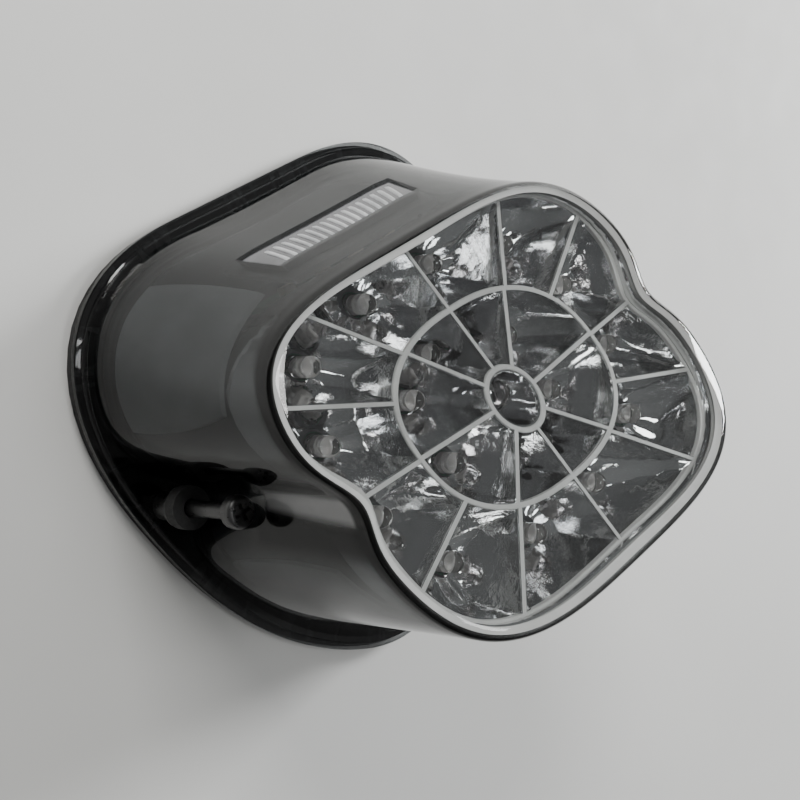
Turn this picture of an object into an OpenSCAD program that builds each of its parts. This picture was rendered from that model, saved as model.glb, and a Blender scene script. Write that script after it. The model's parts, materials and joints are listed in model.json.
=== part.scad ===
// Motorcycle tail light: smoked one-piece lens over a cellular LED reflector.
// Units are millimetres. Z points out of the mounting face, which lies in the plane z = 0.
// X runs across the machine and the lamp is symmetric about X = 0.
// The plate-light window looks towards -Y. The lens face is a plane that rises towards +Y.

/* [Lens face] */
// Height of the face plane above the mounting plane, measured at y = 0
face_height = 84.5; // [70:0.5:95]
// Tilt of the face plane
face_tilt = 25; // [10:1:32]
// Distance from the face centre to its window-side edge
face_south = 44; // [38:0.5:48]
// Distance from the face centre to its far edge
face_north = 40; // [34:0.5:46]
// Distance from the face centre to each flank
face_side = 60; // [54:0.5:64]
// Depth of the screwdriver notch where it meets the face
face_notch = 5; // [3:0.5:8]

/* [Base] */
// Distance from the origin to the ends of the base
base_half_length = 70; // [62:0.5:76]
// Distance from the origin to each leaning flank of the base
base_side = 60; // [56:0.5:66]
// Depth of the screw channel at its foot
base_notch = 12.5; // [10:0.5:14]
// Thickness of the rubber gasket under the lens flange
gasket_thick = 3; // [2:0.5:4]

/* [Lens shell] */
// Wall thickness of the lens
wall = 2.5; // [2:0.1:3]
// Gap from the outside of the face to the top of the reflector
reflector_gap = 5.5; // [4.5:0.5:8]

/* [Lamps] */
// Diameter of one LED dome
led_d = 5; // [4:0.2:6]
// Depth of the reflector cells
cell_depth = 14; // [10:0.5:16]

/* [Screws] */
// Distance of each mounting screw from the centre line
screw_x = 58; // [57:0.5:59]
// Offset of the mounting screws towards the window
screw_y = -9; // [-11:0.5:-7]
// Diameter of the screw shank
screw_d = 4; // [3.5:0.1:4.2]

/* [Hidden] */
$fn = 48;
STEPS = 96;
SLACK = 0.4;
slope = tan(face_tilt);

// Face outline: a four-sided shape whose corners are rounded by the power of the sum.
FACE_Y = -7;
FACE_LEAN = 4.5;
FACE_POWER = 3.5;
FACE_NOTCH_AT = -4.5;
FACE_NOTCH_WIDTH = 8;
// Base outline: flanks lean in towards +Y.
BASE_LEAN = 17;
BASE_POWER = 2.3;
BASE_NOTCH_WIDTH = 10;
BASE_NOTCH_AT = atan2(screw_y, screw_x);

// Flange levels, stacked on the gasket.
flange_z = gasket_thick;
lip_z = flange_z + 2;
step_z = lip_z + 0.6;
ledge_z = step_z + 1.4;
LIP_STEP = 1.6;
LIP_TOP = 2.2;
FOOT_INSET = 4;
EDGE_ROUND = 3.5;
INNER_EDGE = 1;

// Reflector cells.
HUB_Y = -8;
HUB_R = 8;
RING_Y = -9.5;
RING_A = 33;
RING_B = 22.4;
RING_POWER = 2.35;
RIB = 1.2;
// The cup steps in along the flanks, where the lens wall leans inwards below the face.
CUP_STEP = 1.9;
CUP_STEP_AT = 2;
CUP_STEP_WIDTH = 22;
CELL_INSET = 3.8;
COLLAR_TOP = 3.9;
COLLAR_THICK = 0.8;
FLOOR = 1.6;
OUTER_SPOKES = [-90, -48, -25, -2.5, 19.5, 45, 90];
INNER_SPOKES = [-90, -49, -3, 44, 90];
floor_depth = reflector_gap + cell_depth;
board_depth = floor_depth + FLOOR + 6;
BOARD_THICK = 1.6;
BOARD_INSET = 9;
BOARD_GAP = 0.05;
LED_FLANGE_D = led_d + 0.8;
LED_BODY = 8.6;
LED_HOLE = LED_FLANGE_D + 0.6;
LEAD_PITCH = 2.54;
LEAD = 0.5;

// Back housing.
HOUSING_INSET = 7.2;
housing_z = flange_z;
HOUSING_FLOOR = 3;
POST_D = 7;
POSTS = mirrored([[24, -36], [25, 12]]);
BOSS_D = 6;
BOSSES = mirrored([[40, -26], [42, 5]]);
SMALL_SCREW_D = 2.6;
POST_SCREW_D = 3;
SCREW_FIT = 0.1;
RIM_HEIGHT = 5;

// Plate-light window: extent along the outline and up the wall.
WINDOW_FROM = -116;
WINDOW_TO = -64;
WINDOW_LOW = 0.46;
WINDOW_HIGH = 0.7;
WINDOW_RIBS = 17;
WINDOW_DEPTH = 3;
// Wall fraction that one degree along the outline is worth, so that a border looks even.
WINDOW_EDGE = 0.02;
GASKET_GAP = 0.15;

// Liner panels behind the flanks, either side of each screw channel.
LINER_SPANS = [[-57, -25], [11, 58]];
LINER_LOW = 0.06;
LINER_HIGH = 0.7;
LINER_GAP = 0.7;
LINER_THICK = 1.2;
LINER_STEPS = 24;

// Mounting screws.
SHANK_TOP = 36;
SHANK_TIP = 0.4;
SLIP_THICK = 0.8;
SLIP_D = 7.8;
HEAD_D = 8;
HEAD_H = 2.6;
CLEAR_BORE = screw_d + 0.6;
SLEEVE_D = 7;
SLEEVE_TOP = 14;
WASHER_D = 10;
WASHER_THICK = 1.2;
RING_D = 10.6;
RING_THICK = 3.6;

// Connector in the back housing.
SOCKET_Y = 30;
SOCKET_W = 20;
SOCKET_L = 14;
SOCKET_H = 16;
SOCKET_WALL = 1.8;
PIN_PITCH = 5;

function polar(r, a) = [r * cos(a), r * sin(a)];
function bump(a, at, width) = exp(-pow(turn(a - at) / width, 2));
function turn(a) = a > 180 ? turn(a - 360) : (a < -180 ? turn(a + 360) : a);
function side_term(a, at, distance, power) = pow(max(0, cos(a - at)) / distance, power);
function four_sided(a, south, north, side, lean, power) =
    pow(side_term(a, -90, south, power) + side_term(a, 90, north, power)
        + side_term(a, lean, side, power) + side_term(a, 180 - lean, side, power), -1 / power);
function notch(a, at, width) = bump(a, at, width) + bump(a, 180 - at, width);

function face_radius(a, inset) =
    four_sided(a, face_south, face_north, face_side, FACE_LEAN, FACE_POWER)
    - face_notch * notch(a, FACE_NOTCH_AT, FACE_NOTCH_WIDTH) - inset;
function base_radius(a, inset, depth) =
    four_sided(a, base_half_length, base_half_length, base_side, BASE_LEAN, BASE_POWER)
    - depth * notch(a, BASE_NOTCH_AT, BASE_NOTCH_WIDTH) - inset;

function face_xy(a, inset) = polar(face_radius(a, inset), a) + [0, FACE_Y];
function base_xy(a, inset, depth) = polar(base_radius(a, inset, depth), a);
function plane_z(y, depth) = face_height - depth + slope * y;
function face_point(a, inset, depth) =
    let (p = face_xy(a, inset)) [p.x, p.y, plane_z(p.y, depth)];
function base_point(a, inset, depth, z) =
    let (p = base_xy(a, inset, depth)) [p.x, p.y, z];
function mix(p, q, t) = p * (1 - t) + q * t;
// Wall of the lens: straight lines from the foot on the flange up to the face edge.
function wall_point(a, t, inset) =
    mix(base_point(a, FOOT_INSET + inset, base_notch, ledge_z), face_point(a, inset, EDGE_ROUND), t);

angles = [for (i = [0:STEPS - 1]) 360 * i / STEPS];
function face_ring(inset, depth) = [for (a = angles) face_point(a, inset, depth)];
function base_ring(inset, depth, z) = [for (a = angles) base_point(a, inset, depth, z)];
function wall_ring(t, inset) = [for (a = angles) wall_point(a, t, inset)];
function flat_outline(ring) = [for (p = ring) [p.x, p.y]];

// Closed skin from a first pole, through rings of equal length, to a last pole.
module skin(first, rings, last) {
    n = len(rings[0]);
    m = len(rings);
    points = concat([first], [for (r = rings) each r], [last]);
    low = [for (i = [0:n - 1]) [0, 1 + i, 1 + (i + 1) % n]];
    mid = [for (j = [0:m - 2], i = [0:n - 1], half = [0, 1])
        let (p = 1 + j * n + i, q = 1 + j * n + (i + 1) % n)
        half == 0 ? [p, p + n, q] : [q, p + n, q + n]];
    high = [for (i = [0:n - 1]) let (b = 1 + (m - 1) * n) [b + (i + 1) % n, b + i, 1 + m * n]];
    polyhedron(points, concat(low, mid, high));
}

// Slice of whatever is inside, between two depths below the face plane.
module between(top, bottom) {
    intersection() {
        children();
        translate([0, 0, face_height - bottom])
            rotate([face_tilt, 0, 0])
                translate([-100, -150, 0])
                    cube([200, 300, (bottom - top) * cos(face_tilt)]);
    }
}

module face_column(inset) {
    linear_extrude(130) polygon(flat_outline(face_ring(inset, 0)));
}

// Outline of the reflector cup: the face outline, stepped in along each flank.
function cup_radius(a, inset) =
    face_radius(a, inset) - CUP_STEP * notch(a, CUP_STEP_AT, CUP_STEP_WIDTH);

module cup_column(inset) {
    translate([0, FACE_Y, 0])
        linear_extrude(130) polygon([for (a = angles) polar(cup_radius(a, inset), a)]);
}

module base_slab(inset, depth, z, thick) {
    translate([0, 0, z])
        linear_extrude(thick) polygon(flat_outline(base_ring(inset, depth, 0)));
}

module at_screws() {
    for (side = [-1, 1])
        translate([side * screw_x, screw_y, 0]) children();
}

// Block that follows the lens wall. The span is an angle from, an angle to and a number of steps,
// and the rise is the low and the high fraction of the wall. Ribs stand out by the given height.
module wall_block(span, rise, outer, inner, ribs) {
    steps = span[2];
    columns = [for (i = [0:steps])
        let (a = span[0] + (span[1] - span[0]) * i / steps, lift = i % 4 < 2 ? ribs : 0)
        [wall_point(a, rise[0], outer - lift), wall_point(a, rise[1], outer - lift),
         wall_point(a, rise[1], inner), wall_point(a, rise[0], inner)]];
    points = [for (c = columns) each c];
    sides = [for (i = [0:steps - 1], k = [0:3], half = [0, 1])
        let (p = 4 * i + k, q = 4 * i + (k + 1) % 4)
        half == 0 ? [p, q, p + 4] : [q, q + 4, p + 4]];
    ends = [[0, 2, 1], [0, 3, 2], [4 * steps, 4 * steps + 1, 4 * steps + 2],
            [4 * steps, 4 * steps + 2, 4 * steps + 3]];
    polyhedron(points, concat(sides, ends));
}

// Block over the window, larger all round by the given growth.
module window_block(outer, inner, grow, ribs) {
    edge = grow * WINDOW_EDGE;
    wall_block([WINDOW_FROM - grow, WINDOW_TO + grow, WINDOW_RIBS * 4],
               [WINDOW_LOW - edge, WINDOW_HIGH + edge], outer, inner, ribs);
}

module lens_cover() {
    inner_top = wall + INNER_EDGE;
    color([0.12, 0.13, 0.14, 0.6])
        difference() {
            skin(
                [0, FACE_Y, plane_z(FACE_Y, wall)],
                [
                    face_ring(inner_top, wall),
                    wall_ring(1, wall),
                    wall_ring(0.5, wall),
                    base_ring(FOOT_INSET + wall, base_notch, ledge_z),
                    base_ring(FOOT_INSET + wall, base_notch, flange_z),
                    base_ring(0, 0, flange_z),
                    base_ring(0, 0, lip_z),
                    base_ring(LIP_STEP, 0, step_z),
                    base_ring(LIP_TOP, 0, ledge_z),
                    base_ring(FOOT_INSET, base_notch, ledge_z),
                    wall_ring(0.5, 0),
                    wall_ring(1, 0),
                    face_ring(EDGE_ROUND * 0.3, EDGE_ROUND * 0.3),
                    face_ring(EDGE_ROUND, 0)
                ],
                [0, FACE_Y, plane_z(FACE_Y, 0)]
            );
            window_block(-3, wall + 3, 0, 0);
            at_screws() cylinder(d = CLEAR_BORE, h = 30);
        }
}

module inner_liner() {
    inset = wall + LINER_GAP;
    color([0.42, 0.42, 0.43])
        for (side = [0, 1], span = LINER_SPANS)
            mirror([side, 0, 0])
                wall_block([span[0], span[1], LINER_STEPS], [LINER_LOW, LINER_HIGH],
                           inset, inset + LINER_THICK, 0);
}

module plate_window() {
    color([0.9, 0.92, 0.95, 0.5])
        window_block(0.2, WINDOW_DEPTH, -0.5, 0.8);
}

module window_gasket() {
    color([0.05, 0.05, 0.05])
        difference() {
            window_block(wall + GASKET_GAP, wall + 2, 3, 0);
            window_block(-3, wall + 6, -0.3, 0);
        }
}

module ring_column(grow) {
    function term(v, h) = pow(abs(v) / h, RING_POWER);
    function reach(a) = pow(term(cos(a), RING_A + grow) + term(sin(a), RING_B + grow), -1 / RING_POWER);
    translate([0, RING_Y, 0])
        linear_extrude(130) polygon([for (a = angles) polar(reach(a), a)]);
}

module spokes(list) {
    for (a = list, side = [0, 1])
        translate([0, HUB_Y, 0])
            rotate([0, 0, side == 0 ? a : 180 - a])
                translate([0, -RIB / 2, 0])
                    cube([90, RIB, 130]);
}

module hub_column(r) {
    translate([0, HUB_Y, 0]) cylinder(r = r, h = 130);
}

function between_spokes(list) = [for (i = [0:len(list) - 2]) (list[i] + list[i + 1]) / 2];
function ring_reach(a) =
    pow(pow(abs(cos(a)) / RING_A, RING_POWER) + pow(abs(sin(a)) / RING_B, RING_POWER), -1 / RING_POWER);
function outer_r(a) = (ring_reach(a) + face_radius(a, CELL_INSET)) / 2;
function inner_r(a) = (HUB_R + ring_reach(a)) / 2;
function mirrored(list) = concat(list, [for (p = list) [-p.x, p.y]]);
OUTER_AT = mirrored([for (a = between_spokes(OUTER_SPOKES)) polar(outer_r(a), a) + [0, HUB_Y]]);
INNER_AT = mirrored([for (a = between_spokes(INNER_SPOKES)) polar(inner_r(a), a) + [0, HUB_Y]]);
ALL_AT = concat(OUTER_AT, INNER_AT, [[0, HUB_Y]]);

// The collar and the flange round the reflector mouth, the skirt, the floor,
// the screw bosses and every cell wall.
module reflector() {
    color([0.85, 0.86, 0.88])
        difference() {
            union() {
                between(reflector_gap, reflector_gap + RIB)
                    difference() {
                        reflector_flange_column(0);
                        cup_column(CELL_INSET);
                    }
                between(COLLAR_TOP, reflector_gap + RIB)
                    difference() {
                        reflector_flange_column(0);
                        reflector_flange_column(COLLAR_THICK);
                    }
                between(reflector_gap, floor_depth + FLOOR)
                    difference() {
                        cup_column(CELL_INSET - 1);
                        cup_column(CELL_INSET + 0.2);
                    }
                between(floor_depth, floor_depth + FLOOR) cup_column(CELL_INSET);
                between(reflector_gap, floor_depth + 0.2) reflector_walls();
                between(floor_depth + FLOOR - 0.1, board_depth - BOARD_GAP)
                    for (p = BOSSES) translate([p.x, p.y, 0]) cylinder(d = BOSS_D, h = 130);
            }
            for (p = ALL_AT)
                translate([p.x, p.y, 0]) cylinder(d = LED_HOLE, h = 130);
            for (p = BOSSES)
                translate([p.x, p.y, 0])
                    cylinder(d = SMALL_SCREW_D + SCREW_FIT, h = plane_z(p.y, floor_depth + FLOOR));
        }
}

// The flange reaches the lens wall, and steps in with the cup where the wall leans in.
module reflector_flange_column(inset) {
    intersection() {
        face_column(wall + SLACK + inset);
        cup_column(wall - 1 + inset);
    }
}

module reflector_walls() {
    intersection() {
        cup_column(CELL_INSET);
        union() {
            difference() {
                spokes(OUTER_SPOKES);
                ring_column(-RIB / 2);
            }
            difference() {
                spokes(INNER_SPOKES);
                hub_column(HUB_R - RIB / 2);
                difference() {
                    cylinder(r = 120, h = 131);
                    ring_column(0);
                }
            }
            difference() {
                ring_column(0);
                ring_column(-RIB);
            }
            difference() {
                hub_column(HUB_R);
                hub_column(HUB_R - RIB);
            }
        }
    }
}

module leds_at(list) {
    color([0.92, 0.94, 0.95, 0.7])
        for (p = list)
            translate([p.x, p.y, plane_z(p.y, floor_depth + FLOOR)]) {
                cylinder(d = LED_FLANGE_D, h = 1);
                cylinder(d = led_d, h = LED_BODY - led_d / 2);
                translate([0, 0, LED_BODY - led_d / 2]) sphere(d = led_d);
            }
}

module outer_leds() {
    leds_at(OUTER_AT);
}

module inner_leds() {
    leds_at(INNER_AT);
}

module centre_led() {
    leds_at([[0, HUB_Y]]);
}

module led_leads() {
    color([0.8, 0.8, 0.8])
        for (p = ALL_AT, side = [-1, 1])
            translate([p.x + side * LEAD_PITCH / 2, p.y, plane_z(p.y, board_depth + 3)])
                translate([-LEAD / 2, -LEAD / 2, 0])
                    cube([LEAD, LEAD, board_depth + 3 - floor_depth - FLOOR - 0.02]);
}

module main_board() {
    color([0.05, 0.25, 0.12])
        difference() {
            between(board_depth, board_depth + BOARD_THICK) face_column(BOARD_INSET);
            for (p = ALL_AT, side = [-1, 1])
                translate([p.x + side * LEAD_PITCH / 2, p.y, 0]) cylinder(d = 1, h = 130);
            for (p = POSTS)
                translate([p.x, p.y, 0]) cylinder(d = POST_SCREW_D + 0.4, h = 130);
            for (p = BOSSES)
                translate([p.x, p.y, 0]) cylinder(d = SMALL_SCREW_D + 0.4, h = 130);
        }
}

// Places its children on the back of the tilted main board.
module on_board_back(x, y) {
    translate([x, y, plane_z(y, board_depth + BOARD_THICK)])
        rotate([face_tilt, 0, 0])
            mirror([0, 0, 1]) children();
}

module resistors() {
    color([0.75, 0.65, 0.5])
        for (i = [0:7])
            on_board_back(-21 + 6 * i, -28.5)
                translate([-1.2, -3, 0.05]) cube([2.4, 6, 1]);
}

module diodes() {
    color([0.1, 0.1, 0.1])
        for (x = [-12, 0, 12])
            on_board_back(x, -2.5)
                translate([-1.4, -2.2, 0.05]) cube([2.8, 4.4, 2]);
}

module regulator() {
    color([0.1, 0.1, 0.1])
        on_board_back(-27, 0) {
            translate([-3.3, -3, 0.05]) cube([6.6, 6, 2.4]);
            translate([-2.6, 2.9, 0.05]) cube([5.2, 2.4, 0.8]);
        }
}

module capacitor() {
    color([0.15, 0.2, 0.35])
        on_board_back(0, 17) {
            translate([0, 0, 0.05]) cylinder(d = 8, h = 9);
            translate([-4.2, -4.2, 0.05]) cube([8.4, 8.4, 0.9]);
        }
}

// Height a flat screw head needs above the tilted board, so that its rim only just touches.
function head_lift(d) = d * slope + 0.1;

// Screws from behind the board into the reflector bosses.
module reflector_screws() {
    color([0.7, 0.7, 0.72])
        for (p = BOSSES)
            translate([p.x, p.y, plane_z(p.y, board_depth + BOARD_THICK) - head_lift(SMALL_SCREW_D)])
                mirror([0, 0, 1]) small_screw(0, 6, SMALL_SCREW_D);
}

// Screws from the front of the board into the housing posts.
module board_screws() {
    color([0.7, 0.7, 0.72])
        for (p = POSTS)
            translate([p.x, p.y, 0])
                small_screw(plane_z(p.y, board_depth) + head_lift(POST_SCREW_D), 10, POST_SCREW_D);
}

// Small pan screw with its head on top and its shank below the given height.
module small_screw(z, length, d) {
    translate([0, 0, z - length]) cylinder(d = d, h = length + 0.1);
    difference() {
        translate([0, 0, z]) cylinder(d = 2 * d, h = d * 0.6);
        translate([-d * 0.7, -0.3, z + d * 0.3]) cube([d * 1.4, 0.6, d]);
        translate([-0.3, -d * 0.7, z + d * 0.3]) cube([0.6, d * 1.4, d]);
    }
}

// Plate-light board stands behind the window, in front of the shroud.
PLATE_Y = -46;
PLATE_Z = 26;
PLATE_W = 52;
PLATE_H = 13;
SHROUD_TOP = 33;

module plate_board() {
    color([0.05, 0.25, 0.12])
        translate([-PLATE_W / 2, PLATE_Y, PLATE_Z]) cube([PLATE_W, BOARD_THICK, PLATE_H]);
}

module plate_leds() {
    color([0.95, 0.95, 0.85])
        for (x = [-18, -6, 6, 18])
            translate([x - 1.75, PLATE_Y - 1.95, PLATE_Z + PLATE_H / 2 - 1.4])
                cube([3.5, 1.9, 2.8]);
}

module plate_shroud() {
    color([0.12, 0.12, 0.12])
        translate([-PLATE_W / 2 - 2, PLATE_Y + BOARD_THICK + 0.05, housing_z + HOUSING_FLOOR])
            cube([PLATE_W + 4, 1.6, SHROUD_TOP - housing_z - HOUSING_FLOOR]);
}

module back_housing() {
    color([0.06, 0.06, 0.07])
        difference() {
            union() {
                base_slab(HOUSING_INSET, base_notch, housing_z, HOUSING_FLOOR);
                difference() {
                    base_slab(HOUSING_INSET + 3, base_notch, housing_z, RIM_HEIGHT);
                    base_slab(HOUSING_INSET + 5, base_notch, housing_z, RIM_HEIGHT + 1);
                }
                between(board_depth + BOARD_THICK + 0.05, 100)
                    for (p = POSTS)
                        translate([p.x, p.y, housing_z + 1]) cylinder(d = POST_D, h = 100);
            }
            for (p = POSTS)
                translate([p.x, p.y, housing_z + HOUSING_FLOOR])
                    cylinder(d = POST_SCREW_D + SCREW_FIT, h = 120);
            translate([-SOCKET_W / 2 - 0.05, SOCKET_Y - SOCKET_L / 2 - 0.05, 0])
                cube([SOCKET_W + 0.1, SOCKET_L + 0.1, 10]);
            translate([-25, 30, 0]) cylinder(d = 6, h = 10);
        }
}

module housing_seal() {
    color([0.2, 0.2, 0.2])
        difference() {
            base_slab(FOOT_INSET + wall + 0.1, base_notch, housing_z + HOUSING_FLOOR + 0.02, 0.9);
            base_slab(HOUSING_INSET + 2.8, base_notch, housing_z, 10);
        }
}

module base_gasket() {
    color([0.04, 0.04, 0.04])
        difference() {
            base_slab(0.8, 0, 0, gasket_thick);
            base_slab(FOOT_INSET + wall + 5, base_notch, -1, gasket_thick + 2);
            at_screws() translate([0, 0, -1]) cylinder(d = screw_d + 1.2, h = 10);
        }
}

module connector_socket() {
    color([0.08, 0.08, 0.09])
        translate([-SOCKET_W / 2, SOCKET_Y - SOCKET_L / 2, 0.4]) {
            difference() {
                cube([SOCKET_W, SOCKET_L, SOCKET_H]);
                translate([SOCKET_WALL, SOCKET_WALL, -1])
                    cube([SOCKET_W - 2 * SOCKET_WALL, SOCKET_L - 2 * SOCKET_WALL, SOCKET_H - 2]);
                for (i = [-1:1])
                    translate([SOCKET_W / 2 + i * PIN_PITCH, SOCKET_L / 2, 0]) pin_stock(-1, SOCKET_H + 4, 0);
            }
        }
}

module pin_stock(z, length, shrink) {
    half = 0.9 - shrink;
    translate([-half, -0.4 + shrink / 2, z]) cube([2 * half, 0.8 - shrink, length]);
}

module connector_pins() {
    color([0.85, 0.7, 0.3])
        for (i = [-1:1])
            translate([i * PIN_PITCH, SOCKET_Y, 0]) pin_stock(3.5, SOCKET_H + 1, 0.05);
}

module connector_seal() {
    color([0.6, 0.25, 0.1])
        translate([-SOCKET_W / 2 - 2, SOCKET_Y - SOCKET_L / 2 - 2, housing_z + HOUSING_FLOOR + 0.02])
            difference() {
                cube([SOCKET_W + 4, SOCKET_L + 4, 2]);
                translate([2, 2, -1]) cube([SOCKET_W, SOCKET_L, 4]);
            }
}

module vent_cap() {
    color([0.15, 0.15, 0.16])
        translate([-25, 30, 1]) {
            cylinder(d = 5.9, h = 7);
            translate([0, 0, 5.05]) cylinder(d = 9, h = 2);
        }
}

module tube(outer, bore, z, thick) {
    translate([0, 0, z])
        difference() {
            cylinder(d = outer, h = thick);
            translate([0, 0, -1]) cylinder(d = bore, h = thick + 2);
        }
}

module seat_sleeves() {
    color([0.8, 0.8, 0.82])
        at_screws() tube(SLEEVE_D, CLEAR_BORE, ledge_z, SLEEVE_TOP - ledge_z);
}

module seat_washers() {
    color([0.7, 0.7, 0.72])
        at_screws() tube(WASHER_D, CLEAR_BORE, SLEEVE_TOP, WASHER_THICK);
}

module seat_rings() {
    color([0.03, 0.03, 0.03])
        at_screws() tube(RING_D, CLEAR_BORE, SLEEVE_TOP + WASHER_THICK, RING_THICK);
}

module slip_washer(side) {
    color([0.75, 0.75, 0.76])
        translate([side * screw_x, screw_y, 0])
            tube(SLIP_D, screw_d + 0.1, SHANK_TOP, SLIP_THICK);
}

module mounting_screw(side) {
    head_z = SHANK_TOP + SLIP_THICK + 0.02;
    color([0.72, 0.73, 0.75])
        translate([side * screw_x, screw_y, 0])
            difference() {
                union() {
                    translate([0, 0, SHANK_TIP]) cylinder(d = screw_d, h = head_z - SHANK_TIP + 0.5);
                    translate([0, 0, head_z]) pan_head();
                }
                translate([-2.2, -0.5, head_z + 1]) cube([4.4, 1, HEAD_H]);
                translate([-0.5, -2.2, head_z + 1]) cube([1, 4.4, HEAD_H]);
            }
}

module pan_head() {
    rotate_extrude()
        polygon(concat(
            [[0, 0], [HEAD_D / 2, 0], [HEAD_D / 2, 1]],
            [for (a = [15:15:90]) [HEAD_D / 2 - 1.2 + 1.2 * cos(a), 1 + (HEAD_H - 1) * sin(a)]],
            [[0, HEAD_H]]
        ));
}

module slip_washer_left() {
    slip_washer(-1);
}

module slip_washer_right() {
    slip_washer(1);
}

module screw_left() {
    mounting_screw(-1);
}

module screw_right() {
    mounting_screw(1);
}

lens_cover();
inner_liner();
plate_window();
window_gasket();
reflector();
outer_leds();
inner_leds();
centre_led();
led_leads();
main_board();
resistors();
diodes();
regulator();
capacitor();
reflector_screws();
board_screws();
plate_board();
plate_leds();
plate_shroud();
back_housing();
housing_seal();
base_gasket();
connector_socket();
connector_pins();
connector_seal();
vent_cap();
seat_sleeves();
seat_washers();
seat_rings();
slip_washer_left();
slip_washer_right();
screw_left();
screw_right();
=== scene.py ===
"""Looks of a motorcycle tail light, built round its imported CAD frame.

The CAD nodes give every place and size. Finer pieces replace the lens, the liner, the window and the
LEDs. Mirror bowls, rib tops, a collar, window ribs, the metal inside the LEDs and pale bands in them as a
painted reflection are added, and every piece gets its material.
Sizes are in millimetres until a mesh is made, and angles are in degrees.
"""

import itertools
import json
import math

import bmesh
import bpy
from mathutils import Matrix, Vector
from mathutils.kdtree import KDTree


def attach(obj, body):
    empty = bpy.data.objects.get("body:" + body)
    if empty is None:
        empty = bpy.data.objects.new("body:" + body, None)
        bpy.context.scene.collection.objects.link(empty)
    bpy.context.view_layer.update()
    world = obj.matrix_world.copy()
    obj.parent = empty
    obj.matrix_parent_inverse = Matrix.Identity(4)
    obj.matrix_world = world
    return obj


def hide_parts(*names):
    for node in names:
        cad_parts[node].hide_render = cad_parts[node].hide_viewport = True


MM = 0.001

# Driving sizes, the same as the part's.
FACE_HEIGHT = 84.5
FACE_TILT = 25
FACE_SOUTH = 44
FACE_NORTH = 40
FACE_SIDE = 60
FACE_NOTCH = 5
FACE_Y = -7
FACE_LEAN = 4.5
FACE_POWER = 3.5
FACE_NOTCH_AT = -4.5
FACE_NOTCH_WIDTH = 8
BASE_HALF_LENGTH = 70
BASE_SIDE = 60
BASE_NOTCH = 12.5
BASE_LEAN = 17
BASE_POWER = 2.3
BASE_NOTCH_WIDTH = 10
SCREW_X = 58
SCREW_Y = -9
BASE_NOTCH_AT = math.degrees(math.atan2(SCREW_Y, SCREW_X))
SCREW_BORE = 4.6
GASKET_THICK = 3
WALL = 2.5
LIP_Z = GASKET_THICK + 2
STEP_Z = LIP_Z + 0.6
LEDGE_Z = STEP_Z + 1.4
LIP_STEP = 1.6
LIP_TOP = 2.2
FOOT_INSET = 4
EDGE_ROUND = 3.5
INNER_EDGE = 1
SLOPE = math.tan(math.radians(FACE_TILT))
# The fine lens stays this far inside the outline of the frame.
SKIN = 0.06
# Tip of the pale groove inside the thick edge, which stands for the rim seen through it.
GROOVE_INSET = 1.8
GROOVE_DEPTH = 1.95
GROOVE_HEIGHT = 0.6
# Bevel of the flange, and the slant of each small step above it.
FLANGE_BEVEL = 0.3
STEP_SLANT = 0.2
# A hair that keeps two rings of points apart.
HAIR = 0.1
# How far the window cutter reaches past the wall, and the height of the cutters for the screw holes.
CUT_PAST = 3
BORE_HEIGHT = 20
# The frame's rounded edge has flat facets, and the finer one is sunk this much to stay inside them.
EDGE_SINK = 0.3

# Reflector cells and LEDs.
REFLECTOR_GAP = 5.5
CELL_DEPTH = 14
CELL_INSET = 3.8
CUP_STEP = 1.9
CUP_STEP_AT = 2
CUP_STEP_WIDTH = 22
FLOOR = 1.6
FLOOR_DEPTH = REFLECTOR_GAP + CELL_DEPTH
RIB = 1.2
HUB_Y = -8
HUB_R = 8
RING_Y = -9.5
RING_A = 33
RING_B = 22.4
RING_POWER = 2.35
OUTER_SPOKES = (-90, -48, -25, -2.5, 19.5, 45, 90)
INNER_SPOKES = (-90, -49, -3, 44, 90)
LED_D = 5
LED_FLANGE_D = LED_D + 0.8
LED_BODY = 8.6
LED_HOLE = LED_FLANGE_D + 0.6
LED_FLANGE = 1
LED_BEVEL = 0.1
# Radii of the innermost rings of points at the foot and at the tip of an LED.
LED_CORE = 0.4
LED_TIP = 0.02
# Metal inside an LED: corners of the boxes, and the cup as radii and heights.
LED_POST = ((-1.7, -0.3, 0.1), (-1.1, 0.3, 4.6))
LED_ANVIL = ((-0.6, -0.45, 0.1), (1.6, 0.45, 3.7))
LED_CUP = ((0.7, 3.6), (1.3, 4.9), (1.05, 4.9), (0.4, 4.1))
# Pale bands inside an LED, a painted reflection of the bands that the clear barrel shows: radius, height
# and starts.
REFLECTION_BAND_R = 2.15
REFLECTION_BAND_HEIGHT = 0.45
REFLECTION_BAND_STARTS = (1.4, 3.1)
# CAD node of each row of LEDs.
LED_NODES = {"outer": "outer_leds", "inner": "inner_leds", "centre": "centre_led"}

# The drawn ribs stand a hair above the CAD ribs, and those of the two rings are a little wider.
RIB_STAND = 0.08
RIB_SKIRT = 1.2
RIB_BEVEL = 0.18
RING_WIDTH = 1.35
# The spokes lie this much under the rings, and the rim as much under the spokes.
RIB_ORDER = 0.02
# Collar: height of its foot above the reflector mouth, depth of its top, and its other rings of points,
# as distances in from the inside of the lens wall and depths.
COLLAR_FOOT = 0.06
COLLAR_TOP = 3.2
COLLAR_RINGS = (
    (1.3, REFLECTOR_GAP - 0.3), (0.75, REFLECTOR_GAP - 1), (0.5, COLLAR_TOP), (0.35, COLLAR_TOP),
    (0.35, REFLECTOR_GAP + 1),
)
# Bowls are black within this distance of each LED foot: painted shade and painted reflection of the dark
# hole round the LED.
PAINTED_SHADE_ROUND_LED = 4.6
# Bowls: share of the longest reach at which they are full depth, and slope of the walls at the ribs.
FULL_DEPTH_AT = 0.92
BOWL_WALL_STEEPNESS = 3.2
BOWL_SKIN = 0.03
MOUTH_LIP = 0.15
# Shallow flutes break up the reflections in each bowl.
FLUTES = 7
FLUTE = 0.45
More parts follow.
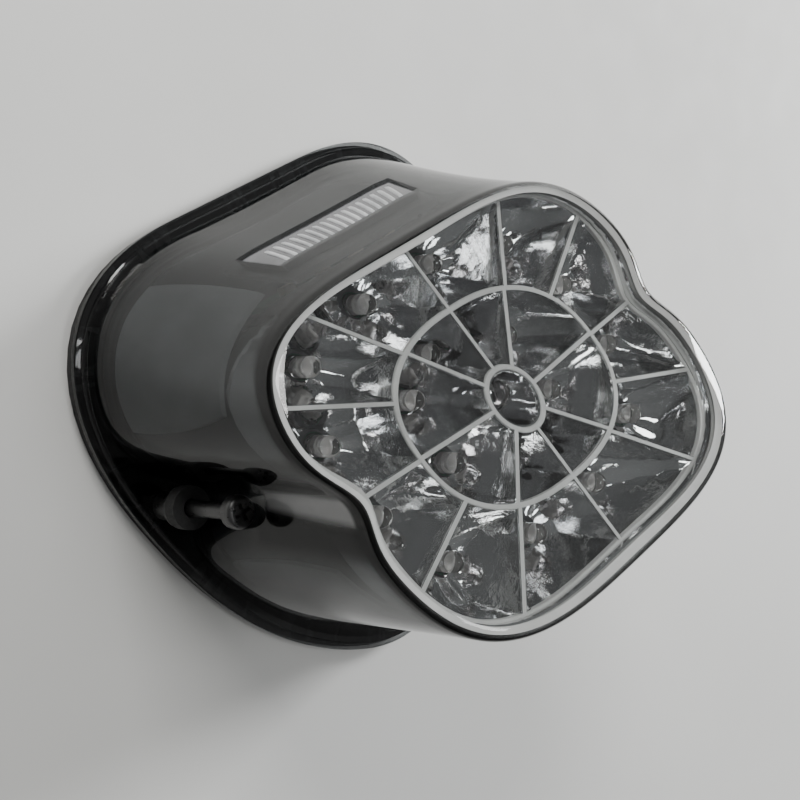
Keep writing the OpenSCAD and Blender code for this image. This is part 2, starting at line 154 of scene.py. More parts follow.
# Search for the edge of a cell: gap left to the ribs, first stride, and how often it is halved.
CELL_GAP = 0.03
FIRST_STRIDE = 0.5
HALVINGS = 8
SPOKE_STRIDE = 0.1

# Plate-light window, as angles round the outline and fractions of the wall height.
WINDOW_FROM = -116
WINDOW_TO = -64
WINDOW_LOW = 0.46
WINDOW_HIGH = 0.7
WINDOW_RIBS = 17
WINDOW_DEPTH = 3
# The pane is this much smaller than its opening, and set in from the outside of the wall.
PANE_GAP_ANGLE = 0.5
PANE_GAP_RISE = 0.01
PANE_INSET = 0.9
# Window ribs: height, slant in degrees, share of the pitch that is rib, and depth in the pane where
# the swell starts and where the ends are rooted. The margins are measured to the edges of the pane.
RIB_LIFT = 0.55
RIB_SLANT = 2
RIB_SHARE = 0.55
RIB_GAP = 0.05
RIB_ROOT = 0.4
RIB_MARGIN_ANGLE = 3
RIB_MARGIN_LOW = 0.03
RIB_MARGIN_HIGH = 0.02

# Liner panels, as angles round the outline and fractions of the wall height.
LINER_SPANS = ((-57, -25), (11, 58))
LINER_LOW = 0.06
LINER_HIGH = 0.7
LINER_INSET = WALL + 0.7
# A hair thinner than the panels of the part.
LINER_THICK = 1.18
CORNER_ROUND = 0.16

# Fineness of the meshes.
LENS_STEPS = 288
WALL_STEPS = 14
EDGE_STEPS = 6
FACE_STEPS = (6, 16, 34)
WINDOW_STEPS = WINDOW_RIBS * 4
RIB_STEPS = 6
PANEL_STEPS = 24
BOWL_TURNS = 96
BOWL_RINGS = 18
HUB_TURNS = 72
LED_TURNS = 32
LED_DOME_STEP = 9
SHARP_ANGLE = 30
RIB_SHARP_ANGLE = 60
BOWL_SHARP_ANGLE = 22
# Points of a mesh nearer than this, in metres, are merged.
MERGED = MM * 1e-4
# A point within this distance of a listed one, in metres, is that point.
SAME_POINT = MM * 1e-3
# Wall fractions of the rings of points between the foot and the face edge.
WALL_RISES = [step / WALL_STEPS for step in range(1, WALL_STEPS)]

# Camera: where it looks, from which side, how it is held, and its distance in metres.
CAMERA_TARGET = Vector((2.8, -9.4, 38.7)) * MM
CAMERA_AZIMUTH = -26.4
CAMERA_ELEVATION = 47.7
CAMERA_ROLL = 89.1
CAMERA_DISTANCE = 0.336
CAMERA_LENS = 60.1

# Lights: name, place in metres, width, power and colour.
LIGHT_TARGET = Vector((0, 0, 0.04))
LIGHTS = (
    ("key", (-0.02, -0.80, 0.62), 0.42, 9, (1.0, 0.99, 0.97)),
    ("top", (-0.12, 0.10, 1.1), 0.35, 4, (0.98, 0.99, 1.0)),
    ("far", (-0.95, 0.02, 0.46), 0.30, 18, (0.98, 0.99, 1.0)),
)
# Brightness of the sky at the horizon and high up, and the height where it is full.
SKY_DARK = 0.05
SKY_LIGHT = 0.34
SKY_TOP = 0.8
FLOOR_HALF = 3000
FLOOR_STEPS = 4
# Rounding of the sharp edges of the seats and screws.
SOFT_EDGE = 0.12
SOFT_ANGLE = 40


def polar(radius, angle):
    """Point in the plane at a radius and an angle."""
    return Vector((radius * math.cos(math.radians(angle)), radius * math.sin(math.radians(angle))))


def bump(angle, at, width):
    """Smooth bump of height one round an angle."""
    away = (angle - at + 180) % 360 - 180
    return math.exp(-((away / width) ** 2))


def notch(angle, at, width):
    """A bump on each flank."""
    return bump(angle, at, width) + bump(angle, 180 - at, width)


def four_sided(angle, south, north, side, lean, power):
    """Radius of a four-sided outline whose corners are rounded by the power of the sum."""
    sides = ((-90, south), (90, north), (lean, side), (180 - lean, side))
    total = sum((max(0, math.cos(math.radians(angle - at))) / distance) ** power for at, distance in sides)
    return total ** (-1 / power)


def face_radius(angle, inset):
    """Radius of the lens face about its centre."""
    plain = four_sided(angle, FACE_SOUTH, FACE_NORTH, FACE_SIDE, FACE_LEAN, FACE_POWER)
    return plain - FACE_NOTCH * notch(angle, FACE_NOTCH_AT, FACE_NOTCH_WIDTH) - inset


def cup_radius(angle, inset):
    """Radius of the reflector cup, which steps in along the flanks."""
    return face_radius(angle, inset) - CUP_STEP * notch(angle, CUP_STEP_AT, CUP_STEP_WIDTH)


def base_radius(angle, inset, depth):
    """Radius of the lens foot about the origin."""
    plain = four_sided(angle, BASE_HALF_LENGTH, BASE_HALF_LENGTH, BASE_SIDE, BASE_LEAN, BASE_POWER)
    return plain - depth * notch(angle, BASE_NOTCH_AT, BASE_NOTCH_WIDTH) - inset


def plane_z(y, depth):
    """Height of the plane that lies a depth below the lens face."""
    return FACE_HEIGHT - depth + SLOPE * y


def face_point(angle, inset, depth):
    """Point below the lens face."""
    flat = polar(face_radius(angle, inset), angle) + Vector((0, FACE_Y))
    return Vector((flat.x, flat.y, plane_z(flat.y, depth)))


def base_point(angle, inset, depth, z):
    """Point of the lens foot."""
    flat = polar(base_radius(angle, inset, depth), angle)
    return Vector((flat.x, flat.y, z))


def wall_point(angle, rise, inset):
    """Point of the lens wall, which runs straight from the foot to the face edge."""
    foot = base_point(angle, FOOT_INSET + inset, BASE_NOTCH, LEDGE_Z)
    return foot.lerp(face_point(angle, inset, EDGE_ROUND), rise)


def make_piece(name, points, faces, material, smooth_angle=SHARP_ANGLE):
    """Mesh object from points in millimetres, smooth except at edges sharper than the angle."""
    mesh = bpy.data.meshes.new(name)
    mesh.from_pydata([point * MM for point in points], [], faces)
    work = bmesh.new()
    work.from_mesh(mesh)
    bmesh.ops.remove_doubles(work, verts=work.verts, dist=MERGED)
    bmesh.ops.dissolve_degenerate(work, edges=work.edges, dist=MERGED)
    bmesh.ops.recalc_face_normals(work, faces=work.faces)
    work.to_mesh(mesh)
    work.free()
    mesh.shade_smooth()
    mesh.set_sharp_from_angle(angle=math.radians(smooth_angle))
    piece = bpy.data.objects.new(name, mesh)
    bpy.context.scene.collection.objects.link(piece)
    if material:
        mesh.materials.append(material)
    return piece


def loft_faces(rows, columns, closed, start=0):
    """Quads between rows of points, with the columns joined up when closed."""
    faces = []
    last = columns if closed else columns - 1
    for row in range(rows - 1):
        for column in range(last):
            here = start + row * columns + column
            beside = start + row * columns + (column + 1) % columns
            faces.append((here, beside, beside + columns, here + columns))
    return faces


def cap(first, count):
    """One face over a ring of points."""
    return tuple(range(first, first + count))


def tube_of(profile, turns):
    """Points and faces of a profile of (radius, height) turned round the Z axis and capped."""
    points = []
    for radius, height in profile:
        for turn in range(turns):
            flat = polar(radius, 360 * turn / turns)
            points.append(Vector((flat.x, flat.y, height)))
    faces = loft_faces(len(profile), turns, True)
    faces.append(cap(0, turns))
    faces.append(cap((len(profile) - 1) * turns, turns))
    return points, faces


def box_of(low, high):
    """Points and faces of a box between two corners."""
    points = [Vector(corner) for corner in itertools.product(*zip(low, high))]
    faces = [(0, 1, 3, 2), (4, 6, 7, 5), (0, 4, 5, 1), (2, 3, 7, 6), (0, 2, 6, 4), (1, 5, 7, 3)]
    return points, faces


def moved(shape, place):
    """The same shape at another place."""
    points, faces = shape
    return [point + place for point in points], faces


def mirrored(shape):
    """The same shape on the other side of X = 0."""
    points, faces = shape
    turned = [tuple(reversed(face)) for face in faces]
    return [Vector((-point.x, point.y, point.z)) for point in points], turned


def gathered(shapes):
    """One list of points and one of faces from several shapes."""
    points = []
    faces = []
    for shape_points, shape_faces in shapes:
        start = len(points)
        points.extend(shape_points)
        faces.extend(tuple(start + index for index in face) for face in shape_faces)
    return points, faces


# ---------------------------------------------------------------- materials


def grey(value):
    """Neutral colour."""
    return (value, value, value)


# The middle of the noise, which holds most of its values.
NOISE_LOW = 0.3
NOISE_HIGH = 0.7
# Noise scales of the tints and of the polish of the lens, and the size of its ripples.
TINT_GRAIN = 200
POLISH_GRAIN = 300
RIPPLE_GRAIN = 60
RIPPLE = 0.00006
POLISH = (0.02, 0.05)

HEAD_ON_REFLECTION = 0.04
WALL_TINT = (0.52, 0.53, 0.535)
CHANNEL_TINT = grey(0.86)
SURROUND_TINT = grey(0.10)
FACE_TINT = (0.78, 0.79, 0.79)
FACE_TINT_PALE = (0.81, 0.82, 0.82)
EDGE_TINT = grey(0.03)
EDGE_TINT_PALE = grey(0.06)
GLANCE_TINT = grey(0.03)
GLANCE_TINT_PALE = grey(0.05)
STRIP_DARK = grey(0.42)
STRIP_LIGHT = grey(0.54)
STRIP_ROUGHNESS = 0.45
# The plastic darkens between these shares of a glancing angle.
GLANCE_START = 0.55
GLANCE_FULL = 0.92
# Depths below the face between which the tint of the wall gives way to that of the face.
WALL_TINT_ENDS = EDGE_ROUND + 1
FACE_TINT_FULL = WALL + 0.4
# Depths below the face where the dark band starts and is full, and depths below the rounded edge
# where it starts to end and is gone.
BAND_START = 1.0
BAND_FULL = 1.6
BAND_END = 1
BAND_GONE = 3
# Distances from a channel's middle line where its strip and the dark wall round it fade out.
STRIP_REACH = (2.4, 4.6)
SURROUND_REACH = (7, 12)
# Both fade in over these heights, above the screw head, and only on the flanks.
STRIP_HEIGHTS = (36, 39)
FLANK_X = 40


class Shader:
    """Small helper that builds one node material."""

    def __init__(self, name):
        self.material = bpy.data.materials.new(name)
        self.material.use_nodes = True
        self.tree = self.material.node_tree
        self.tree.nodes.clear()
        self.output = self.tree.nodes.new("ShaderNodeOutputMaterial")
        self.place = self.add("ShaderNodeTexCoord").outputs["Object"]

    def add(self, kind, **settings):
        node = self.tree.nodes.new(kind)
        for key, value in settings.items():
            setattr(node, key, value)
        return node

    def link(self, source, target):
        self.tree.links.new(source, target)

    def noise(self, scale, detail=3, roughness=0.5):
        """Noise whose scale is in features per metre."""
        node = self.add("ShaderNodeTexNoise")
        node.inputs["Scale"].default_value = scale
        node.inputs["Detail"].default_value = detail
        node.inputs["Roughness"].default_value = roughness
        self.link(self.place, node.inputs["Vector"])
        return node.outputs["Fac"]

    def ramp(self, value, limits, ends=(0, 1), **settings):
        """Value between two ends, as another value goes from one limit to the other."""
        node = self.add("ShaderNodeMapRange", **settings)
        node.inputs["From Min"].default_value = limits[0]
        node.inputs["From Max"].default_value = limits[1]
        node.inputs["To Min"].default_value = ends[0]
        node.inputs["To Max"].default_value = ends[1]
        self.link(value, node.inputs["Value"])
        return node.outputs["Result"]

    def spread(self, value, low, high):
        """Stretches a value from the middle of the noise to a range."""
        return self.ramp(value, (NOISE_LOW, NOISE_HIGH), (low, high))

    def fade(self, value, start, end):
        """Smooth step from nought to one between two lengths in millimetres."""
        return self.ramp(value, (start * MM, end * MM), interpolation_type="SMOOTHSTEP")

    def calculate(self, operation, *terms):
        """Result of one operation on outputs and plain numbers."""
        node = self.add("ShaderNodeMath", operation=operation)
        for term, target in zip(terms, node.inputs):
            if isinstance(term, (int, float)):
                target.default_value = term
            else:
                self.link(term, target)
        return node.outputs["Value"]

    def fill(self, target, source):
        """Sets a colour input to a plain colour, or links it to an output."""
        if isinstance(source, tuple):
            target.default_value = (*source, 1)
        else:
            self.link(source, target)

    def tint(self, value, first, second):
        """Colour between two others, each a plain colour or an output."""
        node = self.add("ShaderNodeMix", data_type="RGBA")
        self.fill(node.inputs["A"], first)
        self.fill(node.inputs["B"], second)
        self.link(value, node.inputs["Factor"])
        return node.outputs["Result"]

    def blend(self, share, first, second):
        """Surface between two others."""
        node = self.add("ShaderNodeMixShader")
        self.link(share, node.inputs["Fac"])
        self.link(first, node.inputs[1])
        self.link(second, node.inputs[2])
        return node.outputs["Shader"]

    def relief(self, value, distance):
        """Bump whose height is in metres."""
        node = self.add("ShaderNodeBump")
        node.inputs["Distance"].default_value = distance
        self.link(value, node.inputs["Height"])
        return node.outputs["Normal"]

    def facing(self, normal=None):
        """Nought where one looks straight at the surface, and one where one looks along it."""
        node = self.add("ShaderNodeLayerWeight")
        node.inputs["Blend"].default_value = 0.5
        if normal:
            self.link(normal, node.inputs["Normal"])
        return node.outputs["Facing"]

    def edge_reflection(self, normal):
        """Share of light a thin clear shell reflects, the same from its inside and its outside."""
        fifth = self.calculate("POWER", self.facing(normal), 5)
        return self.calculate("MULTIPLY_ADD", fifth, 1 - HEAD_ON_REFLECTION, HEAD_ON_REFLECTION)

    def finish(self, surface):
        self.link(surface, self.output.inputs["Surface"])
        return self.material


def solid_material(name, dark, light, rough, metal=0.0, grain=900, relief=0.00002, coat=0.0):
    """Opaque material whose colour, roughness and surface all vary a little."""
    shader = Shader(name)
    body = shader.add("ShaderNodeBsdfPrincipled")
    # Broad patches of colour, and a relief finer than the changes in polish.
    broad = shader.spread(shader.noise(grain / 8), 0, 1)
    fine = shader.noise(grain * 3, 4, 0.6)
    shader.link(shader.tint(broad, dark, light), body.inputs["Base Color"])
    shader.link(shader.spread(shader.noise(grain), *rough), body.inputs["Roughness"])
    shader.link(shader.relief(fine, relief), body.inputs["Normal"])
    body.inputs["Metallic"].default_value = metal
    body.inputs["Coat Weight"].default_value = coat
    return shader.finish(body.outputs["BSDF"])


def depth_band(shader, height):
    """One on the rounded edge of the face, and nought on the face and down the wall."""
    start = shader.fade(height, FACE_HEIGHT - BAND_START, FACE_HEIGHT - BAND_FULL)
    end = shader.fade(height, FACE_HEIGHT - EDGE_ROUND - BAND_GONE, FACE_HEIGHT - EDGE_ROUND - BAND_END)
    return shader.calculate("MULTIPLY", start, end)


def channel_mask(shader, split, reach):
    """One on the lens wall near a channel's middle line above the screw head, and nought elsewhere."""
    full, gone = reach
    across = shader.calculate("SUBTRACT", split.outputs["Y"], SCREW_Y * MM)
    near = shader.fade(shader.calculate("ABSOLUTE", across), gone, full)
    above = shader.fade(split.outputs["Z"], *STRIP_HEIGHTS)
    flank = shader.calculate("GREATER_THAN", shader.calculate("ABSOLUTE", split.outputs["X"]), FLANK_X * MM)
    return shader.calculate("MULTIPLY", shader.calculate("MULTIPLY", near, above), flank)


def smoked_surface(shader, tint):
    """Thin shell that light passes straight through, dark at glancing angles, with a gloss."""
    edge = shader.ramp(shader.facing(), (GLANCE_START, GLANCE_FULL), interpolation_type="SMOOTHSTEP")
    dark_edge = shader.tint(shader.noise(TINT_GRAIN), GLANCE_TINT, GLANCE_TINT_PALE)
    clear = shader.add("ShaderNodeBsdfTransparent")
    shader.link(shader.tint(edge, tint, dark_edge), clear.inputs["Color"])
    gloss = shader.add("ShaderNodeBsdfGlossy")
    gloss.inputs["Color"].default_value = (1, 1, 1, 1)
    shader.link(shader.spread(shader.noise(POLISH_GRAIN), *POLISH), gloss.inputs["Roughness"])
    ripple = shader.relief(shader.noise(RIPPLE_GRAIN, 2), RIPPLE)
    shader.link(ripple, gloss.inputs["Normal"])
    return shader.blend(shader.edge_reflection(ripple), clear.outputs["BSDF"], gloss.outputs["BSDF"])


def smoked_material(name, is_outside):
    """Clear smoked plastic, darker down the walls.

    The outer skin has a dark band round the face, where one looks along the thick edge. The inner
    skin is opaque and pale along each channel floor, but not under the face.
    """
    shader = Shader(name)
    split = shader.add("ShaderNodeSeparateXYZ")
    shader.link(shader.place, split.inputs["Vector"])
    # Height above a plane parallel to the face, so that the walls can be told from the face.
    height = shader.calculate("MULTIPLY_ADD", split.outputs["Y"], -SLOPE, split.outputs["Z"])
    limits = ((FACE_HEIGHT - WALL_TINT_ENDS) * MM, (FACE_HEIGHT - FACE_TINT_FULL) * MM)
    on_face = shader.ramp(height, limits)
    on_strip = channel_mask(shader, split, STRIP_REACH)
    wall_tint = shader.tint(channel_mask(shader, split, SURROUND_REACH), WALL_TINT, SURROUND_TINT)
    wall_tint = shader.tint(on_strip, wall_tint, CHANNEL_TINT)
    face_tint = shader.tint(shader.noise(TINT_GRAIN), FACE_TINT, FACE_TINT_PALE)
    tint = shader.tint(on_face, wall_tint, face_tint)
    if is_outside:
        edge_tint = shader.tint(shader.noise(TINT_GRAIN), EDGE_TINT, EDGE_TINT_PALE)
        tint = shader.tint(depth_band(shader, height), tint, edge_tint)
        return shader.finish(smoked_surface(shader, tint))
    pale = shader.add("ShaderNodeBsdfPrincipled")
    shader.link(shader.tint(shader.noise(TINT_GRAIN), STRIP_DARK, STRIP_LIGHT), pale.inputs["Base Color"])
    pale.inputs["Roughness"].default_value = STRIP_ROUGHNESS
    pale_share = shader.calculate("MULTIPLY", shader.calculate("SUBTRACT", 1, on_face), on_strip)
    return shader.finish(shader.blend(pale_share, smoked_surface(shader, tint), pale.outputs["BSDF"]))


def clear_epoxy():
    """Clear moulded epoxy that bends light, with slight flow marks."""
    shader = Shader("led_epoxy_clear")
    body = shader.add("ShaderNodeBsdfPrincipled")
    shader.link(shader.tint(shader.noise(400), (0.80, 0.74, 0.74), (1, 1, 1)), body.inputs["Base Color"])
    shader.link(shader.spread(shader.noise(700), 0.02, 0.08), body.inputs["Roughness"])
    shader.link(shader.relief(shader.noise(500), 0.00004), body.inputs["Normal"])
    body.inputs["Transmission Weight"].default_value = 1.0
    body.inputs["IOR"].default_value = 1.5
    return shader.finish(body.outputs["BSDF"])


def make_metals():
    """Chrome, the satin of the ribs and the rim, and bare and plated metals, by name."""
    return {
        "chrome": solid_material(
            "mirror_chrome", (0.68, 0.68, 0.69), grey(0.84), (0.02, 0.06),
            metal=1.0, grain=90, relief=0.00012),
        "satin_chrome": solid_material(
            "satin_chrome", (0.66, 0.65, 0.63), (0.78, 0.77, 0.75), (0.38, 0.50), metal=0.3),
        "rim_satin": solid_material("rim_satin", (0.46, 0.455, 0.445), (0.54, 0.535, 0.52), (0.40, 0.55)),
        "tinned_lead": solid_material(
            "tinned_wire", grey(0.60), (0.80, 0.80, 0.79), (0.22, 0.40), metal=1.0),
        "zinc_steel": solid_material("zinc_plate", grey(0.06), grey(0.14), (0.25, 0.42), metal=1.0),
        "pin_brass": solid_material(
            "pin_plate", (0.62, 0.46, 0.18), (0.80, 0.64, 0.30), (0.18, 0.32), metal=1.0),
    }


def make_plastics():
    """Clear, smoked and opaque plastics and rubbers, by name."""
    return {
        "smoked_lens": smoked_material("smoked_outside", True),
        "smoked_inside": smoked_material("smoked_inside", False),
        "led_epoxy": clear_epoxy(),
        "clear_plastic": solid_material(
            "window_plastic", (0.34, 0.35, 0.36), (0.60, 0.61, 0.62), (0.10, 0.28), coat=0.6),
        "window_pane": solid_material(
            "window_pane", (0.05, 0.05, 0.055), (0.10, 0.10, 0.11), (0.08, 0.20), coat=0.8),
        "black_plastic": solid_material(
            "black_moulding", (0.025, 0.026, 0.027), (0.055, 0.056, 0.058), (0.35, 0.55)),
        "grey_satin": solid_material(
            "liner_grey", (0.34, 0.345, 0.345), (0.44, 0.445, 0.445), (0.30, 0.45), coat=0.3),
        "black_rubber": solid_material("rubber_black", grey(0.010), grey(0.025), (0.60, 0.85)),
        "orange_silicone": solid_material(
            "silicone_orange", (0.45, 0.15, 0.05), (0.62, 0.26, 0.10), (0.45, 0.65)),
    }


def make_electrics():
    """Materials of the boards and of what is soldered to them, by name."""
    return {
        "circuit_board": solid_material(
            "board_green", (0.02, 0.12, 0.06), (0.03, 0.20, 0.10), (0.35, 0.50), coat=0.3),
        "ceramic": solid_material("resistor_ceramic", (0.55, 0.47, 0.36), (0.74, 0.66, 0.52), (0.50, 0.70)),
        "black_case": solid_material("chip_case", grey(0.02), grey(0.05), (0.50, 0.70)),
        "capacitor_sleeve": solid_material(
            "sleeve_blue", (0.05, 0.08, 0.20), (0.09, 0.13, 0.30), (0.25, 0.40), coat=0.4),
        "phosphor": solid_material("led_phosphor", (0.80, 0.74, 0.42), (0.92, 0.88, 0.62), (0.30, 0.50)),
    }


# ---------------------------------------------------------------- pieces


def declare(piece, slot, *nodes):
    """A new piece of the lamp: it rides on the lamp, and may stand for CAD nodes, which are hidden. The
    slot is not used.
    """
    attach(piece, "lamp")
    if nodes:
        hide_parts(*nodes)
    return piece


def cut(piece, cutters):
    """Takes the cutters out of a piece for good, and removes them."""
    for cutter in cutters:
        modifier = piece.modifiers.new("cut", "BOOLEAN")
        modifier.operation = "DIFFERENCE"
        modifier.solver = "EXACT"
        modifier.object = cutter
    graph = bpy.context.evaluated_depsgraph_get()
    mesh = bpy.data.meshes.new_from_object(piece.evaluated_get(graph))
    mesh.shade_smooth()
    mesh.set_sharp_from_angle(angle=math.radians(SHARP_ANGLE))
    piece.modifiers.clear()
    piece.data = mesh
    for cutter in cutters:
        bpy.data.objects.remove(cutter)


def wall_block(first, last, low, high, near, far):
    """Block of the lens wall between two angles, two wall fractions and two insets."""
    points = []
    for step in range(WINDOW_STEPS + 1):
        angle = first + (last - first) * step / WINDOW_STEPS
        points.extend((
            wall_point(angle, low, near), wall_point(angle, high, near),
            wall_point(angle, high, far), wall_point(angle, low, far),
        ))
    faces = loft_faces(WINDOW_STEPS + 1, 4, True)
    faces.append(cap(0, 4))
    faces.append(cap(4 * WINDOW_STEPS, 4))
    return points, faces


def lens_cutters():
    """Blocks that cut the window opening and the two screw holes through the lens."""
    window = wall_block(WINDOW_FROM, WINDOW_TO, WINDOW_LOW, WINDOW_HIGH, -CUT_PAST, WALL + CUT_PAST)
    cutters = [make_piece("window_cutter", *window, None)]
    for side in (-1, 1):
        bore = tube_of([(SCREW_BORE / 2, 0), (SCREW_BORE / 2, BORE_HEIGHT)], LED_TURNS)
        cutters.append(make_piece("bore_cutter", *moved(bore, Vector((side * SCREW_X, SCREW_Y, 0))), None))
    return cutters


def point_tree(points):
    """Tree that tells whether a point is one of these."""
    tree = KDTree(len(points))
    for index, point in enumerate(points):
        tree.insert(point, index)
    tree.balance()
    return tree


def all_in(tree, polygon, mesh):
    """True if every corner of a face is one of the tree's points."""
    return all(tree.find(mesh.vertices[index].co)[2] < SAME_POINT for index in polygon.vertices)


def lens_angles():
    """Even steps right round the lens."""
    return [360 * step / LENS_STEPS for step in range(LENS_STEPS)]


def ring(point_at):
    """Ring of points right round the lens."""
    return [point_at(angle) for angle in lens_angles()]


def inner_rings():
    """Rings of the inner skin, from the middle of the face down the wall, and those of the satin groove."""
    steps = reversed((0, *FACE_STEPS))
    face = [ring(lambda a, s=s: face_point(a, WALL + INNER_EDGE + s, WALL)) for s in steps]
    groove = [
        ring(lambda a: face_point(a, GROOVE_INSET, GROOVE_DEPTH)),
        ring(lambda a: face_point(a, GROOVE_INSET + HAIR, GROOVE_DEPTH + GROOVE_HEIGHT)),
        ring(lambda a: face_point(a, WALL + HAIR, REFLECTOR_GAP)),
    ]
    wall = [ring(lambda a, r=r: wall_point(a, r, WALL)) for r in reversed(WALL_RISES)]
    return face + groove + wall, face[-1:] + groove


def flange_rings():
    """Rings of the flange, from the foot of the inner skin round to the foot of the outer one."""
    inner = FOOT_INSET + WALL
    steps = (
        (inner, BASE_NOTCH, LEDGE_Z), (inner, BASE_NOTCH, GASKET_THICK),
        (SKIN + FLANGE_BEVEL, 0, GASKET_THICK), (SKIN, 0, GASKET_THICK + FLANGE_BEVEL),
        (SKIN, 0, LIP_Z - FLANGE_BEVEL), (SKIN + FLANGE_BEVEL, 0, LIP_Z),
        (LIP_STEP, 0, LIP_Z + HAIR), (LIP_STEP + STEP_SLANT, 0, STEP_Z),
        (LIP_TOP, 0, STEP_Z + STEP_SLANT), (LIP_TOP + STEP_SLANT, 0, LEDGE_Z),
        (FOOT_INSET, BASE_NOTCH, LEDGE_Z),
    )
    return [ring(lambda a, step=step: base_point(a, *step)) for step in steps]


def outer_rings():
    """Rings of the outer skin, from the wall over the rounded edge to the middle of the face."""
    rings = [ring(lambda a, r=r: wall_point(a, r, SKIN)) for r in WALL_RISES]
    for step in range(EDGE_STEPS + 1):
        turn = math.radians(90 * step / EDGE_STEPS)
        inset = EDGE_ROUND * (1 - math.cos(turn))
        depth = EDGE_ROUND * (1 - math.sin(turn)) + EDGE_SINK * math.sin(2 * turn)
        rings.append(ring(lambda a, i=inset, d=depth: face_point(a, i + SKIN, d + SKIN)))
    return rings + [ring(lambda a, s=s: face_point(a, EDGE_ROUND + s, SKIN)) for s in FACE_STEPS]


def make_lens(materials):
    """One shell: flange with its stepped lip, ruled walls and a rounded face edge, inside and out."""
    inside, groove = inner_rings()
    rings = inside + flange_rings() + outer_rings()
    faces = loft_faces(len(rings), LENS_STEPS, True)
    faces.append(cap(0, LENS_STEPS))
    faces.append(cap((len(rings) - 1) * LENS_STEPS, LENS_STEPS))
    points = [point for one in rings for point in one]
    lens = make_piece("lens_shell", points, faces, materials["smoked_lens"])
    lens.data.materials.append(materials["smoked_inside"])
    lens.data.materials.append(materials["rim_satin"])
    inside_tree = point_tree([point * MM for one in inside for point in one])
    groove_tree = point_tree([point * MM for one in groove for point in one])
    for polygon in lens.data.polygons:
        if all_in(groove_tree, polygon, lens.data) and len(polygon.vertices) < LENS_STEPS:
            polygon.material_index = 2
        elif all_in(inside_tree, polygon, lens.data):
            polygon.material_index = 1
    cut(lens, lens_cutters())
    return declare(lens, "smoked_lens", "lens_cover")


def window_rib(first, last, low, high):
    """Pillow on the window, from one angle and wall fraction to another, slanted by the rib slant."""
    points = []
    for step in range(RIB_STEPS + 1):
        share = step / RIB_STEPS
        middle = first + (last - first) * share
        for row in range(RIB_STEPS + 1):
            climb = row / RIB_STEPS
            angle = middle + RIB_SLANT * (climb - 0.5)
            # Rounded from side to side, and falling to the pane over a quarter of its length at each end.
            swell = RIB_LIFT * math.sin(math.pi * share) ** 0.6 * min(1, 4 * climb, 4 * (1 - climb)) ** 0.5
            points.append(wall_point(angle, low + (high - low) * climb, PANE_INSET + RIB_GAP - swell))
        points.append(wall_point(angle, high, PANE_INSET + RIB_ROOT))
        points.append(wall_point(middle - RIB_SLANT / 2, low, PANE_INSET + RIB_ROOT))
    columns = RIB_STEPS + 3
    faces = loft_faces(RIB_STEPS + 1, columns, True)
    faces.append(cap(0, columns))
    faces.append(cap(RIB_STEPS * columns, columns))
    return points, faces


def make_window(materials):
    """Dark clear pane with a row of bright, slightly slanted ribs."""
    low = WINDOW_LOW + PANE_GAP_RISE
    high = WINDOW_HIGH - PANE_GAP_RISE
    block = wall_block(
        WINDOW_FROM + PANE_GAP_ANGLE, WINDOW_TO - PANE_GAP_ANGLE, low, high, PANE_INSET, WINDOW_DEPTH)
    pane = make_piece("window_pane", *block, materials["window_pane"])
    declare(pane, "clear_plastic", "plate_window")
    start = WINDOW_FROM + RIB_MARGIN_ANGLE
    pitch = (WINDOW_TO - RIB_MARGIN_ANGLE - start) / WINDOW_RIBS
    shapes = []
    for rib in range(WINDOW_RIBS):
        first = start + pitch * rib
        last = first + pitch * RIB_SHARE
        shapes.append(window_rib(first, last, low + RIB_MARGIN_LOW, high - RIB_MARGIN_HIGH))
    ribs = make_piece("window_ribs", *gathered(shapes), materials["clear_plastic"], RIB_SHARP_ANGLE)
    declare(ribs, "clear_plastic")


def liner_patch(first, last):
    """Panel behind the lens wall with rounded corners."""
    columns = PANEL_STEPS + 1
    middle = (first + last) / 2
    half = (last - first) / 2
    rise = (LINER_LOW + LINER_HIGH) / 2
    reach = (LINER_HIGH - LINER_LOW) / 2
    points = []
    for inset in (LINER_INSET, LINER_INSET + LINER_THICK):
        for row in range(columns):
            for column in range(columns):
                across = 2 * column / PANEL_STEPS - 1
                along = 2 * row / PANEL_STEPS - 1
                angle = middle + half * across * math.sqrt(1 - CORNER_ROUND * along ** 2)
                height = rise + reach * along * math.sqrt(1 - CORNER_ROUND * across ** 2)
                points.append(wall_point(angle, height, inset))
    count = columns ** 2
    faces = loft_faces(columns, columns, False) + loft_faces(columns, columns, False, count)
    rim = list(range(columns))
    rim += [(row + 1) * columns - 1 for row in range(1, columns)]
    rim += [PANEL_STEPS * columns + column for column in range(PANEL_STEPS - 1, -1, -1)]
    rim += [row * columns for row in range(PANEL_STEPS - 1, 0, -1)]
    for here, beside in zip(rim, rim[1:] + rim[:1]):
        faces.append((here, beside, beside + count, here + count))
    return points, faces


def make_liner(material):
    """Grey panels behind the flanks, either side of each screw channel."""
    shapes = []
    for first, last in LINER_SPANS:
        panel = liner_patch(first, last)
        shapes += [panel, mirrored(panel)]
    liner = make_piece("liner_panels", *gathered(shapes), material)
    return declare(liner, "grey_satin", "inner_liner")


def ring_reach(angle):
    """Radius of the reflector's ring about its centre."""
    flat = polar(1, angle)
    return (abs(flat.x / RING_A) ** RING_POWER + abs(flat.y / RING_B) ** RING_POWER) ** (-1 / RING_POWER)


def ring_room(point):
    """How far a point lies outside the ring's outline."""
    away = point - Vector((0, RING_Y))
    return away.length - ring_reach(math.degrees(math.atan2(away.y, away.x)))


def spoke_room(point, first, last):
    """How far a point lies between the flanks of two spokes."""
    away = point - Vector((0, HUB_Y))
    start = polar(1, first)
    end = polar(1, last)
    return min(start.x * away.y - start.y * away.x, away.x * end.y - away.y * end.x) - RIB / 2


